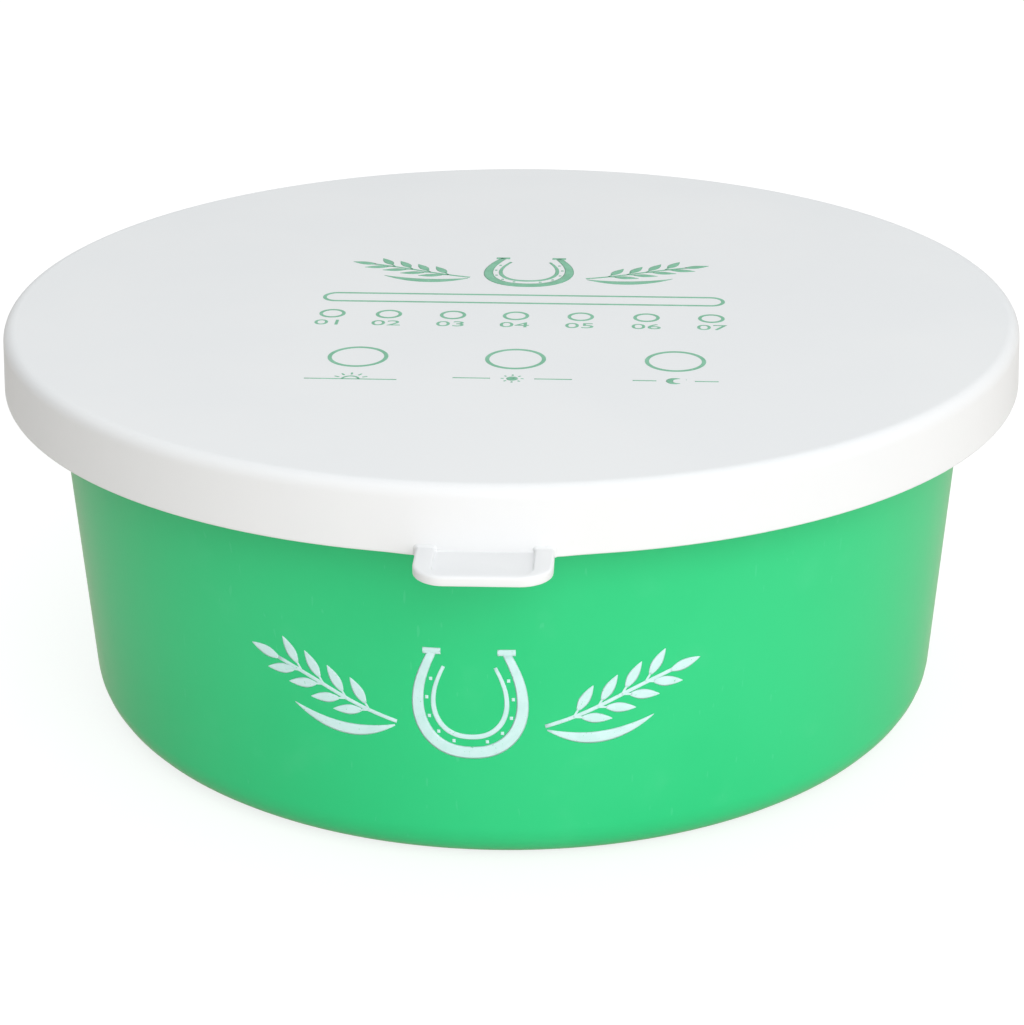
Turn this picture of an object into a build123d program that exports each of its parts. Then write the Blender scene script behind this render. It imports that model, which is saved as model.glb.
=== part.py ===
"""A round, stackable horse feed bowl with a press-on lid, in millimetres.

Two mouldings: a flexible bowl with a flat crowned rim that turns down into a lip, and a flat lid
whose skirt goes over that lip. The origin is the middle of the bowl's foot on the floor, +Z is up,
and the lid's thumb tab points to -Y, the front.
"""

import os
from math import cos, radians, tan

from build123d import *

# Bowl
bowl_height = 116.0  # floor to the flat crown of the rim
base_radius = 128.9  # outside of the wall, carried straight down to the floor
wall_draft = 3.3  # degrees that the wall leans outwards, so that bowls nest and leave the mould
bowl_wall = 2.5
corner_radius = 11.7  # outside bend from the foot into the wall
foot_width = 8.0  # flat ring that stands on the floor
kick_up = 1.5  # the floor inside the foot ring is raised by this much
kick_up_slope = 4.0
kick_up_bend = 2.0
flange_width = 10.75  # outside of the wall to outside of the lip
flange_bend = 1.5  # outside bend under the flange; the bowl's mouth is rounded a wall wider
lip_depth = 9.0  # crown of the rim to the lower edge of the lip
lip_bend = 1.0  # bend under the lip; its outside is a wall wider
lip_edge = 0.8
gate_radius = 6.0  # round sunk patch around the mould's gate, under the bowl and under the lid
gate_depth = 0.5
gate_stub_radius = 1.2
gate_stub_height = 0.35

# Lid
lid_wall = 2.0
lid_edge_radius = 3.5
rim_clearance = 1.8  # lip to the inside of the skirt, at the skirt's foot
skirt_lean = 1.0  # the skirt is this much narrower at the top
skirt_foot_edge = 0.6
bead_clearance = 0.3  # lip to the snap beads, drawn as wide as they spring open to pass it
bead_gap = 0.8  # lower edge of the lip to the top of the beads
bead_height = 4.6
bead_land = 1.0  # straight part of a bead between its two ramps
bead_margin = 1.6  # beads to the skirt's foot
bead_count = 12
bead_arc = 20.0  # degrees of the rim that one bead covers
plug_depth = 5.0  # ring that centres the lid in the bowl's mouth
plug_wall = 1.8
plug_clearance = 0.5
plug_edge = 0.7

# Thumb tab
tab_width = 34.0
tab_reach = 17.4  # beyond the skirt
tab_thickness = 2.6
tab_corner = 8.0
tab_side_border = 4.8  # raised edge on both sides of the thumb rest
tab_front_border = 2.6
tab_edge = 0.7
dish_depth = 1.0  # the thumb rest, sunk between the borders
dish_corner = 3.0
dish_edge = 0.4


def wall_radius(height):
    """Outside radius of the bowl's straight wall at a height above the floor."""
    return base_radius + height * tan(radians(wall_draft))


# Where the lid meets the bowl
flange_underside = bowl_height - bowl_wall
rim_radius = wall_radius(flange_underside) + flange_width
lip_foot = bowl_height - lip_depth
mouth_wall = bowl_wall / cos(radians(wall_draft))  # the wall's thickness measured level

lid_top = bowl_height + lid_wall
lid_radius = rim_radius + rim_clearance + lid_wall
bead_top = lip_foot - bead_gap
bead_foot = bead_top - bead_height
skirt_foot = bead_foot - bead_margin
bead_reach = rim_clearance - bead_clearance
plug_foot = bowl_height - plug_depth
plug_radius = wall_radius(plug_foot) - mouth_wall - plug_clearance
tab_front = lid_radius + tab_reach  # front edge of the tab, from the lid's axis
tab_top = skirt_foot + tab_thickness
dish_width = tab_width - 2 * tab_side_border


with BuildPart() as feed_bowl:
    # One even wall all the way: raised floor, foot ring, wall, flange and lip
    with BuildSketch(Plane.XZ):
        with BuildLine():
            foot_inside = base_radius - corner_radius - foot_width
            FilletPolyline(
                (0, kick_up),
                (foot_inside - kick_up_slope, kick_up),
                (foot_inside, 0),
                (base_radius, 0),
                (wall_radius(flange_underside), flange_underside),
                (rim_radius - bowl_wall, flange_underside),
                (rim_radius - bowl_wall, lip_foot),
                radius=[kick_up_bend, kick_up_bend, corner_radius, flange_bend, lip_bend],
            )
            offset(amount=bowl_wall, side=Side.LEFT)
        make_face()
        lip_corners = vertices().filter_by_position(Axis.Y, lip_foot - 0.01, lip_foot + 0.01)
        fillet(lip_corners, radius=lip_edge)
    revolve(axis=Axis.Z)

    # Sunk patch and stub left by the mould's gate, under the raised floor
    with BuildSketch(Plane.XY.offset(kick_up)):
        Circle(gate_radius)
    extrude(amount=gate_depth, mode=Mode.SUBTRACT)
    with BuildSketch(Plane.XY.offset(kick_up + gate_depth)):
        Circle(gate_stub_radius)
    extrude(amount=-gate_stub_height)


with BuildPart() as snap_bead:
    # One stretch of the bead that catches under the lip, ramped above and below
    with BuildSketch(Plane.XZ):
        with BuildLine():
            root = lid_radius - lid_wall / 2
            skirt_inside = lid_radius - lid_wall
            tip = skirt_inside - bead_reach
            ramp = (bead_height - bead_land) / 2
            Polyline(
                (root, bead_foot),
                (skirt_inside, bead_foot),
                (tip, bead_foot + ramp),
                (tip, bead_top - ramp),
                (skirt_inside, bead_top),
                (root, bead_top),
                close=True,
            )
        make_face()
    revolve(axis=Axis.Z, revolution_arc=bead_arc)


with BuildPart() as thumb_tab:
    # Flat tab with rounded front corners and soft edges, level with the skirt's foot
    with BuildSketch(Plane.XY.offset(skirt_foot)):
        with Locations((0, -tab_front)):
            Rectangle(tab_width, tab_front, align=(Align.CENTER, Align.MIN))
        fillet(vertices().group_by(Axis.Y)[0], radius=tab_corner)
        Circle(lid_radius - lid_wall / 2, mode=Mode.SUBTRACT)
    extrude(amount=tab_thickness)
    outline = edges().filter_by(Plane.XY).filter_by_position(Axis.Y, -tab_front - 1, -lid_radius)
    fillet(outline, radius=tab_edge)

    # Dished thumb rest inside a raised border
    with BuildSketch(Plane.XY.offset(tab_top)):
        with Locations((0, tab_front_border - tab_front)):
            Rectangle(dish_width, tab_front, align=(Align.CENTER, Align.MIN))
        fillet(vertices().group_by(Axis.Y)[0], radius=dish_corner)
    extrude(amount=-dish_depth, mode=Mode.SUBTRACT)
    dish = edges(Select.LAST).filter_by(Plane.XY)
    fillet(dish.filter_by_position(Axis.Y, -tab_front, -lid_radius), radius=dish_edge)


with BuildPart() as lid:
    # Flat plate, rounded edge and skirt in one even wall, cut level at the skirt's foot
    with BuildSketch(Plane.XZ):
        with BuildLine():
            FilletPolyline(
                (0, lid_top),
                (lid_radius - skirt_lean, lid_top),
                (lid_radius, skirt_foot),
                radius=lid_edge_radius,
            )
            offset(amount=lid_wall, side=Side.RIGHT)
        make_face()
    revolve(axis=Axis.Z)
    split(bisect_by=Plane.XY.offset(skirt_foot), keep=Keep.TOP)
    fillet(edges().group_by(Axis.Z)[0], radius=skirt_foot_edge)

    # Ring that centres the lid in the bowl's mouth
    with BuildSketch(Plane.XZ):
        with Locations((plug_radius, plug_foot)):
            Rectangle(plug_wall, plug_depth + lid_wall / 2, align=(Align.MAX, Align.MIN))
        fillet(vertices().group_by(Axis.Y)[0], radius=plug_edge)
    revolve(axis=Axis.Z)

    with PolarLocations(0, bead_count, start_angle=(360 / bead_count - bead_arc) / 2):
        add(snap_bead.part)
    add(thumb_tab.part)

    # Patch and stub of the mould's gate, in the middle of the underside
    with BuildSketch(Plane.XY.offset(bowl_height)):
        Circle(gate_radius)
    extrude(amount=gate_depth, mode=Mode.SUBTRACT)
    with BuildSketch(Plane.XY.offset(bowl_height + gate_depth)):
        Circle(gate_stub_radius)
    extrude(amount=-gate_stub_height)


os.makedirs("parts", exist_ok=True)
feed_bowl.part.label = "feed_bowl"
export_step(feed_bowl.part, "parts/feed_bowl.step")
lid.part.label = "lid"
export_step(lid.part, "parts/lid.step")
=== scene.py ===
from math import atan2, cos, pi, radians, sin, tan

import bmesh
import bpy
from mathutils import Matrix, Vector


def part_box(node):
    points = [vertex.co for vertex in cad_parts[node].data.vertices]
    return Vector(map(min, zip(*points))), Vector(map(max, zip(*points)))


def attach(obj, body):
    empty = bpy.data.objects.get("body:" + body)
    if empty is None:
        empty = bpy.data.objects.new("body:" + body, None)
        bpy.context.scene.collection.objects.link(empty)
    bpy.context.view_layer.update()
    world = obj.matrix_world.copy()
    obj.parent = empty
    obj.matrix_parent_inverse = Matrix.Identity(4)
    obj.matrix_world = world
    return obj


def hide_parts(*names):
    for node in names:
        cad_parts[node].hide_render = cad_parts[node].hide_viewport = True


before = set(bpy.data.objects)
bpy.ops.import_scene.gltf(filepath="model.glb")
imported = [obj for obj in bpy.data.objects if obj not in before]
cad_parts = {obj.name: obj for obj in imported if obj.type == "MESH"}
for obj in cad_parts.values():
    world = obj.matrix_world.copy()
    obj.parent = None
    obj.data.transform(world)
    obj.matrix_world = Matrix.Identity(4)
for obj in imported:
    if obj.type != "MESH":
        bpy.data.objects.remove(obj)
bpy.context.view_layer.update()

# Camera: a studio camera with a short telephoto lens, a little above the lid and turned a few
# degrees round from the thumb tab. It was fitted to the outlines of the lid and of the bowl.
CAMERA_TURN = radians(2.57)
CAMERA_RISE = radians(23.12)
CAMERA_ROLL = radians(-0.315)
CAMERA_DISTANCE = 0.7425
CAMERA_LENS = 84.13
SENSOR = 36.0
AIM = Vector((-0.0001, 0.0, 0.0479))


def away(turn, rise):
    """The direction from the bowl at a turn round from its front and a rise above the level."""
    return Vector((sin(turn) * cos(rise), -cos(turn) * cos(rise), sin(rise)))


from_aim = away(CAMERA_TURN, CAMERA_RISE)
level_right = Vector((cos(CAMERA_TURN), sin(CAMERA_TURN), 0.0))
level_up = from_aim.cross(level_right)
camera_right = level_right * cos(CAMERA_ROLL) + level_up * sin(CAMERA_ROLL)
camera_up = from_aim.cross(camera_right)
camera_data = bpy.data.cameras.new("studio_camera")
camera_data.sensor_fit = "VERTICAL"
camera_data.sensor_height = SENSOR
camera_data.lens = CAMERA_LENS
camera = bpy.data.objects.new("studio_camera", camera_data)
camera.matrix_world = Matrix.Translation(AIM + from_aim * CAMERA_DISTANCE) @ Matrix((
    camera_right,
    camera_up,
    from_aim,
)).transposed().to_4x4()
bpy.context.scene.collection.objects.link(camera)
bpy.context.scene.camera = camera


# Bowl: one moulding of flexible polyethylene, green right through, with one even wall from the
# raised floor to the lip. The mould's face leaves it satin, with a faint orange peel, and handling
# leaves hair scratches and a scuffed foot.
BOWL_WALL = 0.0025
BASE_RADIUS = 0.1289
WALL_DRAFT = radians(3.3)
CORNER_BEND = 0.0117
FOOT_WIDTH = 0.008
KICK_UP = 0.0015  # the floor inside the foot ring is raised by this much
KICK_SLOPE = 0.004
KICK_BEND = 0.002
FLANGE_BEND = 0.0015
LIP_DEPTH = 0.009
LIP_BEND = 0.001
LIP_EDGE = 0.0008
GATE_RADIUS = 0.006  # round sunk patch around the mould's gate, with the gate's stub in its middle
GATE_DEPTH = 0.0005
GATE_STUB = 0.0012
GATE_STUB_HEIGHT = 0.00035
ROUND_STEPS = 240
BEND_STEPS = 8
GUARD = 0.0003  # short straight stretch beside each bend, which keeps its shading off the flat
SAME = 1e-6  # places nearer than this are one

bowl_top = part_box("feed_bowl")[1]
rim_radius = bowl_top.x
rim_height = bowl_top.z
under_flange = rim_height - BOWL_WALL
lip_inside = rim_radius - BOWL_WALL
foot_inside = BASE_RADIUS - CORNER_BEND - FOOT_WIDTH


def wall_radius(height):
    """Outside radius of the bowl's wall at a height."""
    return BASE_RADIUS + height * tan(WALL_DRAFT)


def other_side(line, wall):
    """The same line a wall's thickness to its left, from its far end back, with its bends to suit."""
    moved = []
    places = [Vector((x, z)) for x, z, bend in line]
    for number, (x, z, bend) in enumerate(line):
        after = places[min(number + 1, len(line) - 1)] - places[min(number, len(line) - 2)]
        before = places[max(number, 1)] - places[max(number - 1, 0)]
        left_before = Vector((-before.y, before.x)).normalized()
        left_after = Vector((-after.y, after.x)).normalized()
        corner = (left_before + left_after) * wall / (1 + left_before.dot(left_after))
        turn = before.cross(after)
        larger = wall if turn < 0 else -wall
        moved.append((x + corner.x, z + corner.y, max(bend + larger, 0.0) if bend else 0.0))
    return moved[::-1]


def round_shell(mesh, section):
    """Adds a closed shell: corners (radius, height, bend) turned about the Z axis, each bend an arc."""
    places = [Vector((x, 0.0, z)) for x, z, bend in section]
    last = None
    for number, (x, z, bend) in enumerate(section):
        if not bend:
            points = [places[number]]
            turned = None
        else:
            to_before = (places[number - 1] - places[number]).normalized()
            to_after = (places[number + 1] - places[number]).normalized()
            half = to_before.angle(to_after) / 2
            start = places[number] + to_before * (bend / tan(half))
            centre = places[number] + (to_before + to_after).normalized() * (bend / sin(half))
            points = [start + to_before * GUARD, start]
            turned = centre, to_after.cross(to_before), pi - 2 * half
        for point in points:
            vert = mesh.verts.new(point)
            if last:
                mesh.edges.new((last, vert))
            last = vert
        if turned:
            centre, axis, angle = turned
            spun = bmesh.ops.spin(
                mesh, geom=[last], cent=centre, axis=axis, angle=angle, steps=BEND_STEPS
            )
            end = spun["geom_last"][0]
            last = mesh.verts.new(end.co + to_after * GUARD)
            mesh.edges.new((end, last))
    bmesh.ops.spin(
        mesh,
        geom=mesh.verts[:] + mesh.edges[:],
        cent=(0, 0, 0),
        axis=(0, 0, 1),
        angle=2 * pi,
        steps=ROUND_STEPS,
        use_merge=True,
    )
    bmesh.ops.remove_doubles(mesh, verts=mesh.verts, dist=SAME)
    bmesh.ops.recalc_face_normals(mesh, faces=mesh.faces)


def new_piece(mesh, name, finish, body, smooth=True):
    """Turns a bmesh into a piece of the object, riding on a body."""
    data = bpy.data.meshes.new(name)
    mesh.to_mesh(data)
    mesh.free()
    if smooth:
        data.shade_smooth()
    data.materials.append(finish)
    piece = bpy.data.objects.new(name, data)
    bpy.context.scene.collection.objects.link(piece)
    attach(piece, body)
    return piece


under_side = [
    (0.0, KICK_UP, 0.0),
    (foot_inside - KICK_SLOPE, KICK_UP, KICK_BEND),
    (foot_inside, 0.0, KICK_BEND),
    (BASE_RADIUS, 0.0, CORNER_BEND),
    (wall_radius(under_flange), under_flange, FLANGE_BEND),
    (lip_inside, under_flange, LIP_BEND),
    (lip_inside, rim_height - LIP_DEPTH, 0.0),
]
inner_side = other_side(under_side, BOWL_WALL)
lip_corners = [(x, z, LIP_EDGE) for x, z, bend in (under_side.pop(), inner_side.pop(0))]
gate_mark = [
    (0.0, KICK_UP + GATE_DEPTH - GATE_STUB_HEIGHT, 0.0),
    (GATE_STUB, KICK_UP + GATE_DEPTH - GATE_STUB_HEIGHT, 0.0),
    (GATE_STUB, KICK_UP + GATE_DEPTH, 0.0),
    (GATE_RADIUS, KICK_UP + GATE_DEPTH, 0.0),
    (GATE_RADIUS, KICK_UP, 0.0),
]
bowl_mesh = bmesh.new()
round_shell(bowl_mesh, gate_mark + under_side[1:] + lip_corners + inner_side)


class Tint:
    """A socket in a finish. Sums on it add Math nodes, and node() adds any other kind of node."""

    def __init__(self, tree, socket=None):
        self.tree = tree
        self.socket = socket

    def node(self, kind, settings=None, inputs=None, output=0):
        made = self.tree.nodes.new(kind)
        for name, value in (settings or {}).items():
            setattr(made, name, value)
        for name, value in (inputs or {}).items():
            if isinstance(value, Tint):
                self.tree.links.new(value.socket, made.inputs[name])
            else:
                made.inputs[name].default_value = value
        return Tint(self.tree, made.outputs[output] if made.outputs else None)

    def sum(self, operation, first, second):
        return self.node("ShaderNodeMath", {"operation": operation}, {0: first, 1: second})

    def __add__(self, other):
        return self.sum("ADD", self, other)

    def __radd__(self, other):
        return self.sum("ADD", other, self)

    def __sub__(self, other):
        return self.sum("SUBTRACT", self, other)

    def __rsub__(self, other):
        return self.sum("SUBTRACT", other, self)

    def __mul__(self, other):
        return self.sum("MULTIPLY", self, other)


def new_finish(name):
    """An empty material, and the Tint that its nodes are added through."""
    material = bpy.data.materials.new(name)
    material.use_nodes = True
    material.node_tree.nodes.clear()
    return material, Tint(material.node_tree)


def noise(tint, place, scale, detail=2.0):
    """Soft cloudy values from 0 to 1 in the piece's own space."""
    return tint.node(
        "ShaderNodeTexNoise",
        inputs={"Vector": place, "Scale": scale, "Detail": detail},
    )


def between(tint, value, low, high, to_low=0.0, to_high=1.0):
    """value from low to high, as a value from to_low to to_high that stays inside them."""
    return tint.node(
        "ShaderNodeMapRange",
        {"interpolation_type": "SMOOTHSTEP"},
        {"Value": value, "From Min": low, "From Max": high, "To Min": to_low, "To Max": to_high},
    )


def mixed(tint, share, first, second):
    """A colour between two others. Sockets 6 and 7 and output 2 are a Mix node's colours."""
    return tint.node(
        "ShaderNodeMix",
        {"data_type": "RGBA"},
        {"Factor": share, 6: first, 7: second},
        output=2,
    )


PLASTIC_IOR = 1.5
CLOUD_SCALE = 14.0
CLOUD_RANGE = (0.35, 0.65)
CLOUD_GLOSS = 0.08  # how much the flow clouds change the roughness
PEEL_SCALE = 700.0
PEEL_SHARE = 0.6
GRAIN_SCALE = 4200.0
GRAIN_DEPTH = 0.00002
RUBBED_SCALE = 60.0
RUBBED_RANGE = (0.55, 0.75)
RUBBED_SHARE = 0.05
SCRATCH_SCALE = 900.0
SCRATCH_SHAPE = (1.0, 1.0, 0.22)
SCRATCH_RANGE = (0.80, 0.84)
SCRATCH_SHARE = 0.12
SCUFF_HEIGHT = 0.004  # the foot is scuffed up to here
BLOOM_SPREAD = 0.25
BLOOM_TINT = (1.0, 0.74, 0.68, 1.0)


def moulded_plastic(name, colour, flow_colour, scuff_colour, gloss, foot_wear=0.0, bloom=0.0):
    """Satin polyethylene: flow clouds, orange peel, fine grain, hair scratches and a waxy bloom."""
    material, tint = new_finish(name)
    place = tint.node("ShaderNodeTexCoord", output="Object")
    clouds = noise(tint, place, CLOUD_SCALE, detail=3.0)
    flow = between(tint, clouds, *CLOUD_RANGE)
    peel = noise(tint, place, PEEL_SCALE)
    grain = noise(tint, place, GRAIN_SCALE)
    base = mixed(tint, flow, colour, flow_colour)
    rubbed = between(tint, noise(tint, place, RUBBED_SCALE, detail=4.0), *RUBBED_RANGE)
    upright = tint.node(
        "ShaderNodeVectorMath",
        {"operation": "MULTIPLY"},
        {0: place, 1: SCRATCH_SHAPE},
    )
    scratches = between(tint, noise(tint, upright, SCRATCH_SCALE, detail=0.0), *SCRATCH_RANGE)
    worn = rubbed * RUBBED_SHARE + scratches * SCRATCH_SHARE
    base = mixed(tint, worn, base, scuff_colour)
    if foot_wear:
        height = tint.node("ShaderNodeSeparateXYZ", inputs={"Vector": place}, output="Z")
        low = between(tint, height, 0.0, SCUFF_HEIGHT, 1.0, 0.0)
        base = mixed(tint, low * rubbed * foot_wear, base, scuff_colour)
    bumps = peel * PEEL_SHARE + grain * (1 - PEEL_SHARE)
    normal = tint.node(
        "ShaderNodeBump",
        inputs={"Strength": 1.0, "Distance": GRAIN_DEPTH, "Height": bumps},
    )
    shader = tint.node("ShaderNodeBsdfPrincipled", inputs={
        "Base Color": base,
        "Roughness": gloss + (clouds - 0.5) * CLOUD_GLOSS + worn,
        "IOR": PLASTIC_IOR,
        "Normal": normal,
        "Sheen Weight": bloom,
        "Sheen Roughness": BLOOM_SPREAD,
        "Sheen Tint": BLOOM_TINT,
    })
    tint.node("ShaderNodeOutputMaterial", inputs={"Surface": shader})
    return material


GREEN = (0.016, 0.575, 0.205, 1.0)
GREEN_FLOW = (0.021, 0.592, 0.216, 1.0)
GREEN_SCUFF = (0.20, 0.72, 0.45, 1.0)
bowl_finish = moulded_plastic(
    "green_polyethylene",
    GREEN,
    GREEN_FLOW,
    GREEN_SCUFF,
    gloss=0.38,
    foot_wear=0.7,
    bloom=0.40,
)
bowl = new_piece(bowl_mesh, "bowl_moulding", bowl_finish, "bowl")
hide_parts("feed_bowl")


# Lid: one moulding of softer white polyethylene. Its skirt goes down over the bowl's lip, and a
# broken ring of beads inside the skirt catches under it. A ring inside centres it in the mouth.
# The skirt swells a little around the thumb tab, where the hot tab pulled on it as it cooled.
LID_WALL = 0.002
LID_BEND = 0.0035
SKIRT_LEAN = 0.001
SKIRT_EDGE = 0.0006
INK_HEIGHT = 0.00005  # the plate is lower by this much, so that the ink on it keeps the lid's size
RING_OUTSIDE = 0.1323
RING_WALL = 0.0018
RING_DEPTH = 0.005
RING_EDGE = 0.0007
RING_ROOT = 0.0005
BEAD_REACH = 0.0015
BEAD_HEIGHTS = (0.1016, 0.1034, 0.1044, 0.1062)  # foot, both ends of the straight part, top
BEAD_COUNT = 12
BEAD_HALF_ARC = radians(10.0)
BEAD_END = radians(1.5)
ON_SKIRT = 1e-5
SWELL = 0.0009
SWELL_HALF_WIDTH = 0.0145
SWELL_FLANK = 0.012
SWELL_RISE = 0.003

lid_low, lid_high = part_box("lid")
lid_top = lid_high.z
lid_foot = lid_low.z
lid_radius = lid_high.x
plate_top = lid_top - INK_HEIGHT
lid_under = lid_top - LID_WALL
skirt_inside = lid_radius - LID_WALL


def easing(value, start, end):
    """0 before start, 1 after end, and a smooth step between."""
    share = min(max((value - start) / (end - start), 0.0), 1.0)
    return share * share * (3 - 2 * share)


def skirt_lean_at(height):
    """How far the skirt leans in at a height."""
    return SKIRT_LEAN * (height - lid_foot) / (lid_top - lid_foot)


def swell_at(place):
    """How far the skirt swells outwards at a place near the thumb tab."""
    if place.y > 0:
        return 0.0
    sideways = 1 - easing(abs(place.x), SWELL_HALF_WIDTH, SWELL_HALF_WIDTH + SWELL_FLANK)
    upwards = 1 - easing(place.z, lid_foot + SWELL_RISE, lid_top - LID_BEND)
    return SWELL * sideways * upwards


ring_inside = RING_OUTSIDE - RING_WALL
ring_foot = lid_under - RING_DEPTH
gate_floor = lid_under + GATE_DEPTH
lid_section = [
    (0.0, plate_top, 0.0),
    (lid_radius - SKIRT_LEAN, plate_top, LID_BEND),
    (lid_radius, lid_foot, SKIRT_EDGE),
    (skirt_inside, lid_foot, SKIRT_EDGE),
]
for height in BEAD_HEIGHTS:
    lid_section.append((skirt_inside - skirt_lean_at(height), height, 0.0))
lid_section += [
    (skirt_inside - SKIRT_LEAN, lid_under, LID_BEND - LID_WALL),
    (RING_OUTSIDE, lid_under, RING_ROOT),
    (RING_OUTSIDE, ring_foot, RING_EDGE),
    (ring_inside, ring_foot, RING_EDGE),
    (ring_inside, lid_under, RING_ROOT),
    (GATE_RADIUS, lid_under, 0.0),
    (GATE_RADIUS, gate_floor, 0.0),
    (GATE_STUB, gate_floor, 0.0),
    (GATE_STUB, gate_floor - GATE_STUB_HEIGHT, 0.0),
    (0.0, gate_floor - GATE_STUB_HEIGHT, 0.0),
]
lid_mesh = bmesh.new()
round_shell(lid_mesh, lid_section)
bead_pitch = 2 * pi / BEAD_COUNT
for vert in lid_mesh.verts:
    level = Vector((vert.co.x, vert.co.y, 0.0))
    if not level.length:
        continue
    outwards = level.normalized()
    from_skirt = abs(level.length - (skirt_inside - skirt_lean_at(vert.co.z)))
    from_land = min(abs(vert.co.z - height) for height in BEAD_HEIGHTS[1:3])
    if from_skirt < ON_SKIRT and from_land < ON_SKIRT:
        from_bead = abs(atan2(level.y, level.x) % bead_pitch - bead_pitch / 2)
        share = 1 - easing(from_bead, BEAD_HALF_ARC - BEAD_END, BEAD_HALF_ARC)
        vert.co -= outwards * BEAD_REACH * share
    if level.length > skirt_inside - 2 * BEAD_REACH:
        vert.co += outwards * swell_at(vert.co)

WHITE = (0.755, 0.765, 0.775, 1.0)
WHITE_FLOW = (0.77, 0.777, 0.783, 1.0)
WHITE_SCUFF = (0.74, 0.74, 0.73, 1.0)
lid_finish = moulded_plastic("white_polyethylene", WHITE, WHITE_FLOW, WHITE_SCUFF, gloss=0.42)
lid = new_piece(lid_mesh, "lid_moulding", lid_finish, "lid")
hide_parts("lid")


# Thumb tab: part of the lid's moulding, level with the skirt's foot. The thumb rests in a dish
# between raised borders, and a fillet carries the tab into the skirt.
TAB_WIDTH = 0.034
TAB_THICKNESS = 0.0026
TAB_CORNER = 0.008
TAB_CORNER_STEPS = 10
TAB_SIDE_BORDER = 0.0048
TAB_FRONT_BORDER = 0.0026
TAB_TOP_EDGE = 0.0008
TAB_EDGE = 0.00045
TAB_SPARE = 0.012  # the blank is longer by this much, which is cut away inside the skirt
DISH_DEPTH = 0.001
SHARP_TURN = radians(60)
TAB_INSIDE = 0.0006  # the tab's back goes into the skirt by this much
TAB_ROOT = 0.0006
ROOT_START = 0.0003
ROOT_SLICES = 20
ROOT_SLICE = 0.00014

tab_front = lid_low.y
tab_back = -(lid_radius - SKIRT_LEAN - TAB_INSIDE)
tab_top = lid_foot + TAB_THICKNESS
dish_floor = tab_top - DISH_DEPTH
blank_length = tab_back + TAB_SPARE - tab_front


def flat_blank(width, length):
    """A flat rectangle around the origin."""
    blank = bmesh.new()
    bmesh.ops.create_grid(blank, x_segments=1, y_segments=1, size=0.5)
    bmesh.ops.scale(blank, vec=(width, length, 1.0), verts=blank.verts)
    return blank


def round_corners(mesh, corners, radius, steps):
    """Rounds the corners of a flat face."""
    bmesh.ops.bevel(
        mesh,
        geom=corners,
        offset=radius,
        offset_type="OFFSET",
        affect="VERTICES",
        segments=steps,
        profile=0.5,
        material=-1,
    )


def soften(mesh, edges, amount, steps):
    """Rounds edges over."""
    bmesh.ops.bevel(
        mesh,
        geom=edges,
        offset=amount,
        offset_type="OFFSET",
        affect="EDGES",
        segments=steps,
        profile=0.5,
        clamp_overlap=True,
        material=-1,
    )


def raised(mesh, faces, height):
    """Extrudes flat faces by a height, and gives the faces at their new place."""
    made = bmesh.ops.extrude_face_region(mesh, geom=faces)["geom"]
    top = [item for item in made if isinstance(item, bmesh.types.BMFace)]
    corners = {vert for face in top for vert in face.verts}
    bmesh.ops.translate(mesh, vec=(0.0, 0.0, height), verts=list(corners))
    return top


def level_edges(mesh, height):
    """The sharp edges of a mesh that lie at a height."""
    return [
        edge
        for edge in mesh.edges
        if all(abs(vert.co.z - height) < SAME for vert in edge.verts)
        and edge.calc_face_angle(0.0) > SHARP_TURN
    ]


def on_outline(edge):
    """Whether an edge of the tab's top is on its outline, and not on the rim of its dish."""
    sides = [face for face in edge.link_faces if abs(face.normal.z) < 0.5]
    return any(side.calc_center_median().z < dish_floor for side in sides)


def sliced(mesh, place, cut_away=False):
    """Cuts a mesh across at a place along Y, and closes it where the part beyond is cut away."""
    made = bmesh.ops.bisect_plane(
        mesh,
        geom=mesh.verts[:] + mesh.edges[:] + mesh.faces[:],
        plane_co=(0.0, place, 0.0),
        plane_no=(0.0, 1.0, 0.0),
        clear_outer=cut_away,
    )
    if cut_away:
        rim = [item for item in made["geom_cut"] if isinstance(item, bmesh.types.BMEdge)]
        bmesh.ops.contextual_create(mesh, geom=rim)
        bmesh.ops.recalc_face_normals(mesh, faces=mesh.faces)


tab_mesh = flat_blank(TAB_WIDTH, blank_length)
blank_middle = (0.0, tab_front + blank_length / 2, lid_foot)
bmesh.ops.translate(tab_mesh, vec=blank_middle, verts=tab_mesh.verts)
front_corners = [vert for vert in tab_mesh.verts if vert.co.y < tab_front + TAB_SPARE]
round_corners(tab_mesh, front_corners, TAB_CORNER, TAB_CORNER_STEPS)
top = raised(tab_mesh, tab_mesh.faces[:], TAB_THICKNESS)
bmesh.ops.inset_region(tab_mesh, faces=top, thickness=TAB_SIDE_BORDER, use_even_offset=True)
for vert in top[0].verts:
    if vert.co.y < tab_front + TAB_SPARE:
        vert.co.y -= TAB_SIDE_BORDER - TAB_FRONT_BORDER
raised(tab_mesh, top, -DISH_DEPTH)
# A face that is sunk leaves its old copy behind
bmesh.ops.delete(tab_mesh, geom=top, context="FACES")
bmesh.ops.recalc_face_normals(tab_mesh, faces=tab_mesh.faces)

outline_top = [edge for edge in level_edges(tab_mesh, tab_top) if on_outline(edge)]
soften(tab_mesh, outline_top, TAB_TOP_EDGE, steps=5)
for height in (tab_top, dish_floor, lid_foot):
    soften(tab_mesh, level_edges(tab_mesh, height), TAB_EDGE, steps=4)

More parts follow.
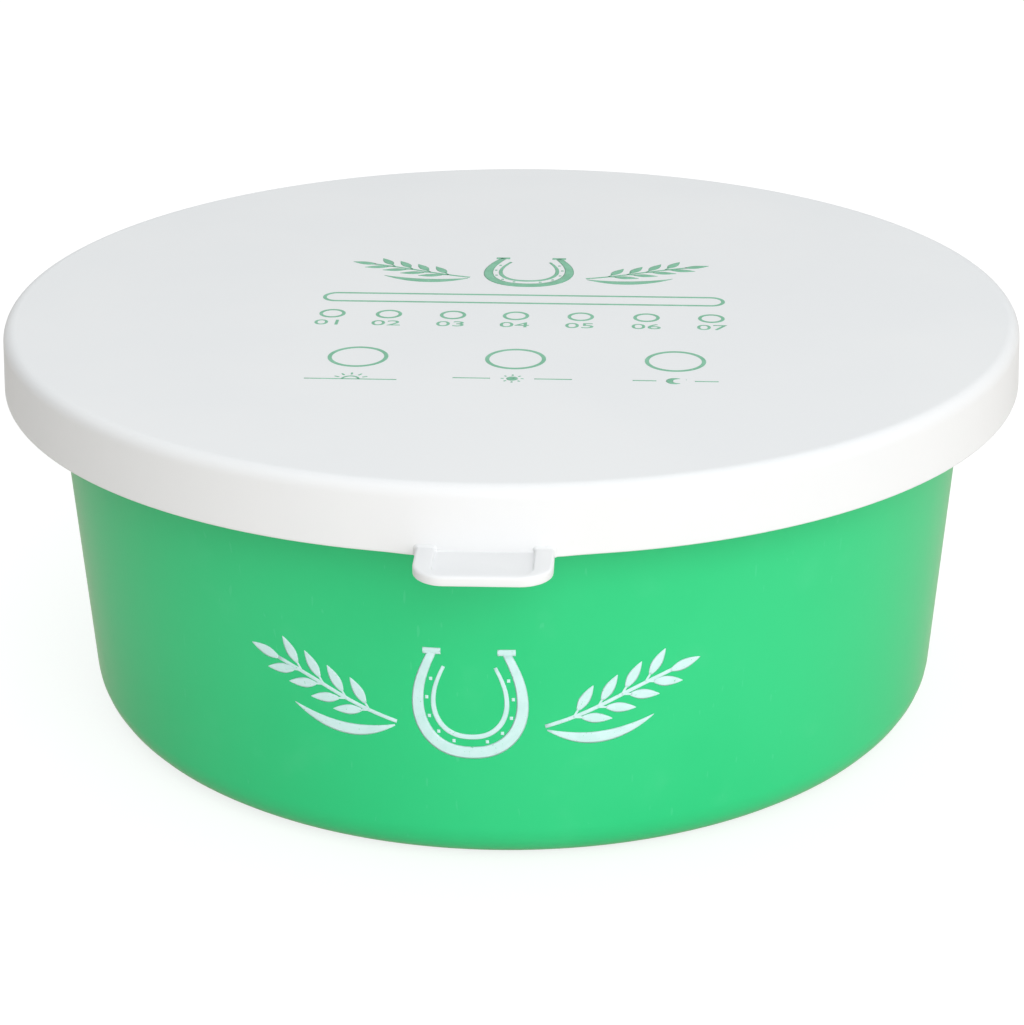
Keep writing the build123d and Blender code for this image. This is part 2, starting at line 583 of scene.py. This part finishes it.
sliced(tab_mesh, tab_back, cut_away=True)
for slice_number in range(ROOT_SLICES):
    sliced(tab_mesh, tab_back - ROOT_START - slice_number * ROOT_SLICE)
tab_mesh.normal_update()
pushes = []
for vert in tab_mesh.verts:
    outside = lid_radius - skirt_lean_at(vert.co.z) + swell_at(vert.co)
    gap = Vector((vert.co.x, vert.co.y)).length - outside
    near = min(max(TAB_ROOT - gap, 0.0), TAB_ROOT)
    flare = TAB_ROOT - (TAB_ROOT * TAB_ROOT - near * near) ** 0.5
    pushes.append((vert, Vector((vert.normal.x, 0.0, max(vert.normal.z, 0.0))) * flare))
for vert, push in pushes:
    vert.co += push
tab = new_piece(tab_mesh, "thumb_tab", lid_finish, "lid")


# Lid print: green ink screened flat on the lid's plate. A frame for a name, seven numbered rings to
# tick, three large rings with signs for the times of the day, and a horseshoe between oat sprigs.
PRINT_TURN = radians(-1.0)
NAME_FRAME = (0.1197, 0.0088)
NAME_PLACE = (0.0037, -0.0023)
NAME_STROKE = 0.0011
NAME_CORNER = 0.49  # of the frame's height
NAME_CORNER_STEPS = 12
RING_STEPS = 72
SMALL_RING = 0.0077
SMALL_STROKE = 0.0010
SMALL_ROW = -0.0180
SMALL_PLACES = (-0.0513, -0.0347, -0.0159, 0.0025, 0.0214, 0.0405, 0.0593)
NUMBER_ROW = -0.0263
NUMBER_SIZE = 0.0062
NUMBER_STRETCH = 1.45
LARGE_RING = 0.0169
LARGE_STROKE = 0.00115
LARGE_ROW = -0.0556
LARGE_PLACES = (-0.0393, 0.0046, 0.0488)
SIGN_ROW = -0.0715
SIGN_SCALE = 0.001
LID_DESIGN_PLACE = (0.0040, 0.0258)
LID_DESIGN_SCALE = 0.00096
STEEPNESS = 10  # drawn strokes are this much thicker before they are clipped to the ink's height
DRAWN_ALIKE = 1e-5


def plate_of_ink(ink, blank):
    """Gives flat faces the thickness of ink on both sides of their plane, and adds them to a print."""
    made = bmesh.ops.extrude_face_region(blank, geom=blank.faces[:])["geom"]
    top = [item for item in made if isinstance(item, bmesh.types.BMVert)]
    bmesh.ops.translate(blank, vec=(0.0, 0.0, 2 * INK_HEIGHT), verts=top)
    bmesh.ops.translate(blank, vec=(0.0, 0.0, -INK_HEIGHT), verts=blank.verts)
    bmesh.ops.recalc_face_normals(blank, faces=blank.faces)
    data = bpy.data.meshes.new("ink")
    blank.to_mesh(data)
    blank.free()
    ink.from_mesh(data)
    bpy.data.meshes.remove(data)


def outline_of_ink(ink, blank, stroke, place):
    """Adds a blank's outline to a print, a stroke wide, at a place."""
    inside = blank.faces[:]
    bmesh.ops.inset_region(
        blank, faces=inside, thickness=stroke, use_even_offset=True, use_boundary=True
    )
    bmesh.ops.delete(blank, geom=inside, context="FACES")
    bmesh.ops.translate(blank, vec=(place[0], place[1], 0.0), verts=blank.verts)
    plate_of_ink(ink, blank)


def ring_of_ink(ink, across, stroke, place):
    """Adds a ring to a print."""
    blank = bmesh.new()
    bmesh.ops.create_circle(blank, cap_ends=True, segments=RING_STEPS, radius=across / 2)
    outline_of_ink(ink, blank, stroke, place)


def curve_of_ink(ink, curve, place, scale, stretch=1.0):
    """Adds a curve's mesh to a print, clipped to the thickness of ink."""
    carrier = bpy.data.objects.new("ink", curve)
    data = bpy.data.meshes.new_from_object(carrier)
    bpy.data.objects.remove(carrier)
    bpy.data.curves.remove(curve)
    drawn = bmesh.new()
    drawn.from_mesh(data)
    bmesh.ops.remove_doubles(drawn, verts=drawn.verts, dist=DRAWN_ALIKE)
    bmesh.ops.recalc_face_normals(drawn, faces=drawn.faces)
    for vert in drawn.verts:
        x = place[0] + vert.co.x * scale * stretch
        y = place[1] + vert.co.y * scale
        depth = min(max(vert.co.z * scale * STEEPNESS, -INK_HEIGHT), INK_HEIGHT)
        vert.co = Vector((x, y, depth))
    drawn.to_mesh(data)
    drawn.free()
    ink.from_mesh(data)
    bpy.data.meshes.remove(data)


def number_of_ink(ink, words, place):
    """Adds a number to a print."""
    text = bpy.data.curves.new("number", "FONT")
    text.body = words
    text.align_x = "CENTER"
    text.align_y = "CENTER"
    text.extrude = 0.1
    text.resolution_u = 4
    curve_of_ink(ink, text, place, NUMBER_SIZE, NUMBER_STRETCH)


def strokes_of_ink(ink, strokes, place, scale):
    """Adds brush strokes to a print. Each is a smooth line of points (x, y, half its width)."""
    curve = bpy.data.curves.new("strokes", "CURVE")
    curve.dimensions = "3D"
    curve.bevel_depth = 1.0
    curve.bevel_resolution = 2
    curve.use_fill_caps = True
    curve.resolution_u = 5
    for points in strokes:
        line = curve.splines.new("NURBS")
        line.points.add(len(points) - 1)
        for point, (x, y, half_width) in zip(line.points, points):
            point.co = (x, y, 0.0, 1.0)
            point.radius = half_width
        line.order_u = min(len(points), 4)
        line.use_endpoint_u = True
    curve_of_ink(ink, curve, place, scale)


def arc_points(centre, radius, start, end, count, half_widths):
    """Points of a stroke along an arc, with its half width given at the start, middle and end."""
    points = []
    for number in range(count):
        share = number / (count - 1)
        angle = start + (end - start) * share
        near = half_widths[0] if share < 0.5 else half_widths[2]
        half_width = near + (half_widths[1] - near) * (1 - (2 * share - 1) ** 2)
        points.append((centre[0] + radius * cos(angle), centre[1] + radius * sin(angle), half_width))
    return points


def ray_points(centre, angle, start, end, half_width):
    """Points of a short straight stroke that points away from a centre."""
    return [
        (centre[0] + cos(angle) * reach, centre[1] + sin(angle) * reach, half_width)
        for reach in (start, (start + end) / 2, end)
    ]


SEED_SHAPE = ((0.0, 0.3), (0.25, 0.95), (0.5, 1.0), (0.78, 0.6), (1.0, 0.06))


def seed_points(foot, angle, length, half_width):
    """Points of a stroke shaped like an oat seed, from its foot."""
    return [
        (foot[0] + cos(angle) * length * along, foot[1] + sin(angle) * length * along, half_width * width)
        for along, width in SEED_SHAPE
    ]


# The drawings, in units of about a millimetre: each point is x, y and half the stroke's width there
HORSESHOE_HALF = (
    (0.0, -15.2, 1.75),
    (5.2, -14.7, 1.75),
    (9.9, -11.6, 1.7),
    (12.7, -6.2, 1.6),
    (13.3, 0.4, 1.45),
    (11.9, 7.0, 1.25),
    (9.0, 13.2, 1.05),
)
INNER_SHARE = 0.70
INNER_WIDTH = 0.42
NAIL_SHARE = 0.80
HEEL = ((6.9, 13.4, 0.9), (9.1, 13.4, 0.9), (11.3, 13.4, 0.9))
STEM = ((18.5, -7.5, 0.55), (25.0, -5.6, 0.55), (33.0, -2.2, 0.55), (42.0, 2.4, 0.55), (50.5, 5.4, 0.55))
LEAF = ((19.0, -8.6, 0.2), (25.0, -11.2, 1.5), (33.0, -12.2, 1.9), (41.0, -9.6, 1.2), (46.0, -6.6, 0.1))
SEED_PAIRS = ((25.5, -5.2), (31.5, -2.8), (37.5, 0.2), (43.5, 3.0))
SEED_LEAN = 27  # degrees
SEED_SPREAD = 34  # degrees to both sides of the lean
SEED_GAP = 2.2
SEED_LENGTH = 7.6
SEED_WIDTH = 1.55
LAST_SEED = (50.0, 5.2)
LAST_SEED_LEAN = 18  # degrees
LAST_SEED_LENGTH = 8.0
LAST_SEED_WIDTH = 1.6

horseshoe = [(-x, y, width) for x, y, width in HORSESHOE_HALF[:0:-1]] + list(HORSESHOE_HALF)
inner_line = [(x * INNER_SHARE, y * INNER_SHARE, width * INNER_WIDTH) for x, y, width in horseshoe]
right_strokes = []
for x, y, width in HORSESHOE_HALF[1:6]:
    nail = (x * NAIL_SHARE, y * NAIL_SHARE)
    right_strokes.append(ray_points(nail, pi / 2, start=-0.45, end=0.45, half_width=0.42))
right_strokes += [HEEL, STEM]
for x, y in SEED_PAIRS:
    for lift in (1, -1):
        angle = radians(SEED_LEAN + SEED_SPREAD * lift)
        foot = (x + SEED_GAP * cos(angle), y + SEED_GAP * sin(angle))
        right_strokes.append(ray_points((x, y), angle, start=0.0, end=2.6, half_width=0.3))
        right_strokes.append(seed_points(foot, angle, SEED_LENGTH, SEED_WIDTH))
last_angle = radians(LAST_SEED_LEAN)
right_strokes.append(seed_points(LAST_SEED, last_angle, LAST_SEED_LENGTH, LAST_SEED_WIDTH))
right_strokes.append(LEAF)
design = [horseshoe, inner_line]
for side in (-1, 1):
    for stroke in right_strokes:
        design.append([(side * x, y, width) for x, y, width in stroke])

MIDDLE = (0.0, 0.0)
HORIZON = (0.0, -2.2)
SUNRISE_TURNS = (25, 57, 90, 123, 155)  # degrees
MIDDAY_TURNS = range(0, 360, 45)
RULE_WIDTH = 0.32

sunrise = [
    ray_points(HORIZON, 0.0, start=-12.6, end=12.6, half_width=RULE_WIDTH),
    arc_points(HORIZON, radius=2.3, start=0.0, end=pi, count=9, half_widths=(0.36, 0.36, 0.36)),
]
for turn in SUNRISE_TURNS:
    sunrise.append(ray_points(HORIZON, radians(turn), start=3.5, end=4.9, half_width=0.3))
midday = [
    arc_points(MIDDLE, radius=0.8, start=0.0, end=2 * pi, count=13, half_widths=(0.85, 0.85, 0.85)),
]
for turn in MIDDAY_TURNS:
    midday.append(ray_points(MIDDLE, radians(turn), start=2.3, end=3.1, half_width=0.28))
evening = [
    arc_points(
        (0.3, 0.0),
        radius=2.0,
        start=radians(62),
        end=radians(298),
        count=11,
        half_widths=(0.08, 0.95, 0.08),
    ),
    ray_points((2.9, 1.1), 0.0, start=-0.05, end=0.05, half_width=0.42),
]
for sign, rule_start, rule_length in ((midday, 6.0, 10.2), (evening, 5.2, 6.4)):
    for side in (-1, 1):
        rule = ray_points((side * rule_start, 0.0), 0.0, 0.0, side * rule_length, RULE_WIDTH)
        sign.append(rule)

lid_ink = bmesh.new()
name_blank = flat_blank(*NAME_FRAME)
round_corners(name_blank, name_blank.verts[:], NAME_FRAME[1] * NAME_CORNER, NAME_CORNER_STEPS)
outline_of_ink(lid_ink, name_blank, NAME_STROKE, NAME_PLACE)
for number, place in enumerate(SMALL_PLACES):
    ring_of_ink(lid_ink, SMALL_RING, SMALL_STROKE, (place, SMALL_ROW))
    number_of_ink(lid_ink, f"0{number + 1}", (place, NUMBER_ROW))
for sign, place in zip((sunrise, midday, evening), LARGE_PLACES):
    ring_of_ink(lid_ink, LARGE_RING, LARGE_STROKE, (place, LARGE_ROW))
    strokes_of_ink(lid_ink, sign, (place, SIGN_ROW), SIGN_SCALE)
strokes_of_ink(lid_ink, design, LID_DESIGN_PLACE, LID_DESIGN_SCALE)
print_turn = Matrix.Rotation(PRINT_TURN, 3, "Z")
bmesh.ops.rotate(lid_ink, cent=(0, 0, 0), matrix=print_turn, verts=lid_ink.verts)
bmesh.ops.translate(lid_ink, vec=(0.0, 0.0, plate_top), verts=lid_ink.verts)

COVER_SCALE = 260.0
COVER_RANGE = (0.35, 0.7)
COVER_GLOSS = 0.08
PINHOLE_SCALE = 1500.0
PINHOLE_RANGE = (0.68, 0.74)
PINHOLE_SHARE = 0.6
INK_GRAIN_SCALE = 2600.0
INK_GRAIN_DEPTH = 0.000008
INK_GLOSS = 0.40


def screened_ink(name, colour, thin_colour, under_colour):
    """Screen ink: a little uneven in cover, with pinholes that show the plastic under it."""
    material, tint = new_finish(name)
    place = tint.node("ShaderNodeTexCoord", output="Object")
    cover = between(tint, noise(tint, place, COVER_SCALE, detail=3.0), *COVER_RANGE)
    base = mixed(tint, cover, colour, thin_colour)
    pinholes = between(tint, noise(tint, place, PINHOLE_SCALE), *PINHOLE_RANGE)
    base = mixed(tint, pinholes * PINHOLE_SHARE, base, under_colour)
    grain = noise(tint, place, INK_GRAIN_SCALE)
    normal = tint.node(
        "ShaderNodeBump",
        inputs={"Strength": 1.0, "Distance": INK_GRAIN_DEPTH, "Height": grain},
    )
    shader = tint.node("ShaderNodeBsdfPrincipled", inputs={
        "Base Color": base,
        "Roughness": INK_GLOSS + cover * COVER_GLOSS,
        "IOR": PLASTIC_IOR,
        "Normal": normal,
    })
    tint.node("ShaderNodeOutputMaterial", inputs={"Surface": shader})
    return material


LID_INK = (0.135, 0.420, 0.258, 1.0)
LID_INK_THIN = (0.190, 0.480, 0.320, 1.0)
lid_ink_finish = screened_ink("green_ink", LID_INK, LID_INK_THIN, WHITE)
new_piece(lid_ink, "lid_print", lid_ink_finish, "lid", smooth=False)


# Bowl print: pale mint ink rolled onto the wall, so it follows the wall's round and its slope. It
# holds the same horseshoe and oat sprigs, larger than on the lid.
BOWL_DESIGN_PLACE = (-0.0054, 0.0512)
BOWL_DESIGN_SCALE = 0.00106
BOWL_INK = (0.620, 0.840, 0.845, 1.0)
BOWL_INK_THIN = (0.560, 0.800, 0.790, 1.0)

bowl_ink = bmesh.new()
strokes_of_ink(bowl_ink, design, BOWL_DESIGN_PLACE, BOWL_DESIGN_SCALE)
for vert in bowl_ink.verts:
    along, height, proud = vert.co
    radius = wall_radius(height) + proud
    turn = along / wall_radius(BOWL_DESIGN_PLACE[1])
    vert.co = Vector((radius * sin(turn), -radius * cos(turn), height))
bowl_ink_finish = screened_ink("mint_ink", BOWL_INK, BOWL_INK_THIN, GREEN)
new_piece(bowl_ink, "bowl_print", bowl_ink_finish, "bowl", smooth=False)


# Studio: a white floor that runs out to white, one large soft lamp at the front right, and a pale
# tent all around that is brighter overhead and behind the bowl.
FLOOR_HALF = 8.0
FLOOR_GLOW = 0.78
FLOOR_PAPER = (0.30, 0.30, 0.30, 1.0)
FLOOR_BOUNCE = (0.70, 0.655, 0.615, 1.0)
TENT_LOW = 0.26
TENT_OVERHEAD = 0.75
TENT_BACK = 0.3
WARM = (1.0, 0.975, 0.95, 1.0)
COOL = (0.95, 0.985, 1.0, 1.0)
PLAIN = (1.0, 1.0, 1.0, 1.0)
KEY_TURN = radians(26.0)
KEY_RISE = radians(18.0)
KEY_DISTANCE = 1.8
KEY_SIZE = 1.9
KEY_POWER = 30.5

floor_mesh = bmesh.new()
bmesh.ops.create_grid(floor_mesh, x_segments=1, y_segments=1, size=FLOOR_HALF)
floor_data = bpy.data.meshes.new("studio_floor")
floor_mesh.to_mesh(floor_data)
floor_mesh.free()
floor = bpy.data.objects.new("studio_floor", floor_data)
bpy.context.scene.collection.objects.link(floor)

# The camera sees paper with a glow that brings it up to white, and the bowl sees plain paper
floor_finish, tint = new_finish("studio_floor")
seen = tint.node("ShaderNodeLightPath", output="Is Camera Ray")
paper = tint.node("ShaderNodeBsdfDiffuse", inputs={"Color": FLOOR_BOUNCE})
faint_paper = tint.node("ShaderNodeBsdfDiffuse", inputs={"Color": FLOOR_PAPER})
glow = tint.node("ShaderNodeEmission", inputs={"Color": PLAIN, "Strength": FLOOR_GLOW})
lit_paper = tint.node("ShaderNodeAddShader", inputs={0: faint_paper, 1: glow})
surface = tint.node("ShaderNodeMixShader", inputs={0: seen, 1: paper, 2: lit_paper})
tint.node("ShaderNodeOutputMaterial", inputs={"Surface": surface})
floor_data.materials.append(floor_finish)

# The camera sees a plain white tent, and the bowl sees its shades
world = bpy.data.worlds.new("studio_tent")
world.use_nodes = True
world.node_tree.nodes.clear()
tint = Tint(world.node_tree)
seen = tint.node("ShaderNodeLightPath", output="Is Camera Ray")
direction = tint.node("ShaderNodeTexCoord", output="Generated")
upwards = tint.node("ShaderNodeSeparateXYZ", inputs={"Vector": direction}, output="Z")
backwards = tint.node("ShaderNodeSeparateXYZ", inputs={"Vector": direction}, output="Y")
overhead = between(tint, upwards, 0.0, 1.0)
behind = between(tint, backwards, 0.0, 1.0)
strength = TENT_LOW + overhead * TENT_OVERHEAD + behind * TENT_BACK
strength = strength + seen * (1.0 - strength)
tent_colour = mixed(tint, seen, mixed(tint, overhead, WARM, COOL), PLAIN)
tent = tint.node("ShaderNodeBackground", inputs={"Color": tent_colour, "Strength": strength})
tint.node("ShaderNodeOutputWorld", inputs={"Surface": tent})
bpy.context.scene.world = world

# The lamp lights the plastic but has no mirror image in it, as in the photo
from_bowl = away(KEY_TURN, KEY_RISE)
key_data = bpy.data.lights.new("key_lamp", "AREA")
key_data.shape = "SQUARE"
key_data.size = KEY_SIZE
key_data.energy = KEY_POWER
key_lamp = bpy.data.objects.new("key_lamp", key_data)
key_lamp.location = AIM + from_bowl * KEY_DISTANCE
key_lamp.rotation_euler = from_bowl.to_track_quat("Z", "Y").to_euler()
key_lamp.visible_glossy = False
bpy.context.scene.collection.objects.link(key_lamp)

bpy.context.scene.view_settings.view_transform = "Standard"
